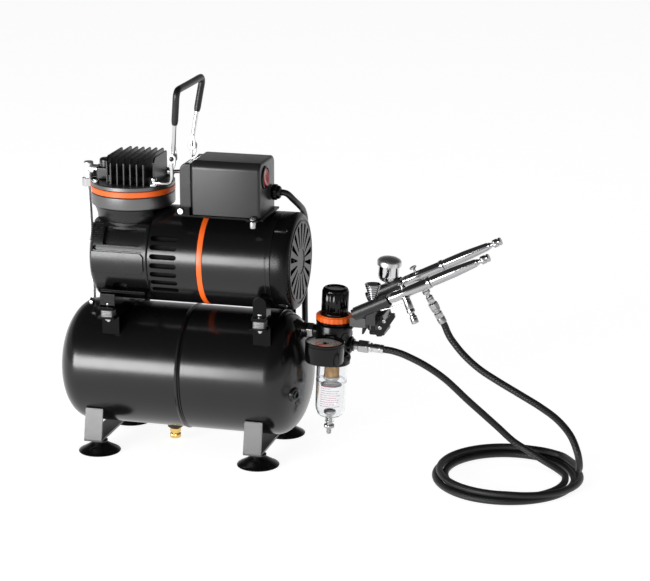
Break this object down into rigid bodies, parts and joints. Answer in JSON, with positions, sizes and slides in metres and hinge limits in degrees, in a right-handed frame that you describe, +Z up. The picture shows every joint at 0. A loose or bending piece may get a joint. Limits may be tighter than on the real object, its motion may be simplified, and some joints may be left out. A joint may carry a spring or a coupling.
{
  "type": "airbrush compressor",
  "caption": "Oil-free piston air compressor on a small horizontal tank, with pressure regulator and filter, coiled braided hose and two airbrushes in holders.",
  "frame": {"origin": "on the floor under the middle of the compressor's length and width, its hose and mains lead not counted", "axes": "+X along the tank towards the fan and regulator, -Y towards the front where the switch box lid screws are, +Z up"},
  "size_m": [0.5424, 0.2823, 0.3785],
  "materials": {
    "gloss_black": "gloss",
    "satin_black": "satin",
    "black_plastic": "satin",
    "rubber": "matte",
    "grey_rubber": "matte",
    "orange_paint": "satin",
    "red_lens": "gloss",
    "chrome": "polished",
    "brass": "polished",
    "steel": "satin",
    "aluminium": "satin",
    "clear_plastic": "clear",
    "filter": "matte",
    "braid": "woven"
  },
  "bodies": {
    "compressor": {"tank_shell": "gloss_black", "crankcase": "gloss_black", "motor_housing": "gloss_black", "leg_strap_left": "satin_black", "leg_strap_right": "satin_black", "tank_bracket_left": "satin_black", "tank_bracket_right": "satin_black", "cylinder": "satin_black", "cylinder_head": "satin_black", "switch_box_base": "satin_black", "switch_box_cover": "satin_black", "holder_clamp": "satin_black", "fan_cover": "black_plastic", "cord_gland": "black_plastic", "regulator_body": "black_plastic", "gauge_case": "black_plastic", "holder_sleeve_rear": "black_plastic", "mains_plug": "black_plastic", "foot_front_left": "rubber", "foot_front_right": "rubber", "foot_rear_left": "rubber", "foot_rear_right": "rubber", "mains_lead": "rubber", "mains_coil": "rubber", "rubber_mount_front_left": "grey_rubber", "rubber_mount_front_right": "grey_rubber", "rubber_mount_rear_left": "grey_rubber", "rubber_mount_rear_right": "grey_rubber", "head_gasket_ring": "orange_paint", "lock_ring": "orange_paint", "air_pipe": "chrome", "handle_bracket_front": "chrome", "handle_bracket_rear": "chrome", "rear_airbrush_body": "chrome", "rear_cup": "chrome", "hose_end_regulator": "chrome", "hose_end_airbrush": "chrome", "stator": "steel", "filter_element": "filter", "hose_from_regulator": "braid", "hose_coil": "braid", "hose_to_airbrush": "braid"},
    "handle": {"handle_rod": "chrome", "handle_grip": "rubber"},
    "rocker": {"rocker_switch": "red_lens"},
    "pressure_knob": {"regulator_knob": "black_plastic"},
    "pointer": {"gauge_pointer": "red_lens"},
    "bowl": {"filter_bowl": "clear_plastic"},
    "bowl_valve": {"bowl_drain_valve": "steel"},
    "tank_drain": {"drain_cock": "brass"},
    "rotor": {"rotor_shaft": "steel", "cooling_fan": "black_plastic"},
    "piston": {"piston_rod": "aluminium"},
    "front_sleeve": {"holder_sleeve_front": "black_plastic"},
    "front_brush": {"front_airbrush_body": "chrome"},
    "front_trigger": {"front_airbrush_trigger": "chrome"},
    "front_handle": {"front_airbrush_handle": "chrome"},
    "rear_trigger": {"rear_airbrush_trigger": "chrome"},
    "rear_handle": {"rear_airbrush_handle": "chrome"},
    "cup_lid": {"rear_cup_lid": "chrome"}
  },
  "joints": [
    {"name": "handle_fold", "type": "hinge", "parent": "compressor", "child": "handle", "pos_m": [-0.09745, 0, 0.3055], "axis": [0, 1, 0], "range_deg": [-94, 70]},
    {"name": "rocker_tilt", "type": "hinge", "parent": "compressor", "child": "rocker", "pos_m": [-0.00635, -0.0235, 0.29], "axis": [0, 1, 0], "range_deg": [0, 16]},
    {"name": "pressure_knob_turn", "type": "hinge", "parent": "compressor", "child": "pressure_knob", "pos_m": [0.05925, 0, 0.148], "axis": [0.0471, 0, 0.9989], "range_deg": [-720, 720]},
    {"name": "pointer_sweep", "type": "hinge", "parent": "compressor", "child": "pointer", "pos_m": [0.05971, -0.0396, 0.13236], "axis": [0.0471, 0, 0.9989], "range_deg": [-270, 0]},
    {"name": "bowl_unscrew", "type": "hinge", "parent": "compressor", "child": "bowl", "pos_m": [0.05925, 0, 0.148], "axis": [0.0471, 0, 0.9989], "range_deg": [0, 720]},
    {"name": "bowl_valve_push", "type": "slide", "parent": "bowl", "child": "bowl_valve", "axis": [0.0471, 0, 0.9989], "range_m": [0, 0.003], "stiffness_N_per_m": 300},
    {"name": "tank_drain_turn", "type": "hinge", "parent": "compressor", "child": "tank_drain", "pos_m": [-0.11055, 0, 0.01], "axis": [0, 0, 1], "range_deg": [0, 720]},
    {"name": "rotor_spin", "type": "hinge", "parent": "compressor", "child": "rotor", "pos_m": [-0.09135, 0, 0.2008], "axis": [1, 0, 0], "continuous": true},
    {"name": "piston_stroke", "type": "slide", "parent": "compressor", "child": "piston", "axis": [0, 0, 1], "range_m": [-0.005, 0.005]},
    {"name": "front_sleeve_tilt", "type": "hinge", "parent": "compressor", "child": "front_sleeve", "pos_m": [0.10415, -0.019, 0.1495], "axis": [0, 1, 0], "range_deg": [-20, 20]},
    {"name": "front_brush_lift", "type": "slide", "parent": "front_sleeve", "child": "front_brush", "axis": [0.8949, 0, 0.4462], "range_m": [0, 0.045]},
    {"name": "front_trigger_pull", "type": "hinge", "parent": "front_brush", "child": "front_trigger", "pos_m": [0.13576, -0.025, 0.18288], "axis": [0.1155, 0.9659, -0.2316], "range_deg": [0, 18], "stiffness_Nm_per_rad": 0.05, "springref_deg": -5.73},
    {"name": "front_handle_turn", "type": "hinge", "parent": "front_brush", "child": "front_handle", "pos_m": [0.08385, -0.025, 0.157], "axis": [0.8949, 0, 0.4462], "range_deg": [0, 1080]},
    {"name": "rear_trigger_pull", "type": "hinge", "parent": "compressor", "child": "rear_trigger", "pos_m": [0.13826, 0.025, 0.18688], "axis": [-0.0775, 0.9848, 0.1554], "range_deg": [0, 18], "stiffness_Nm_per_rad": 0.05, "springref_deg": -5.73},
    {"name": "rear_handle_turn", "type": "hinge", "parent": "compressor", "child": "rear_handle", "pos_m": [0.08635, 0.025, 0.161], "axis": [0.8949, 0, 0.4462], "range_deg": [0, 1080]},
    {"name": "cup_lid_lift", "type": "slide", "parent": "compressor", "child": "cup_lid", "axis": [0.0872, 0, 0.9962], "range_m": [0, 0.012]}
  ]
}
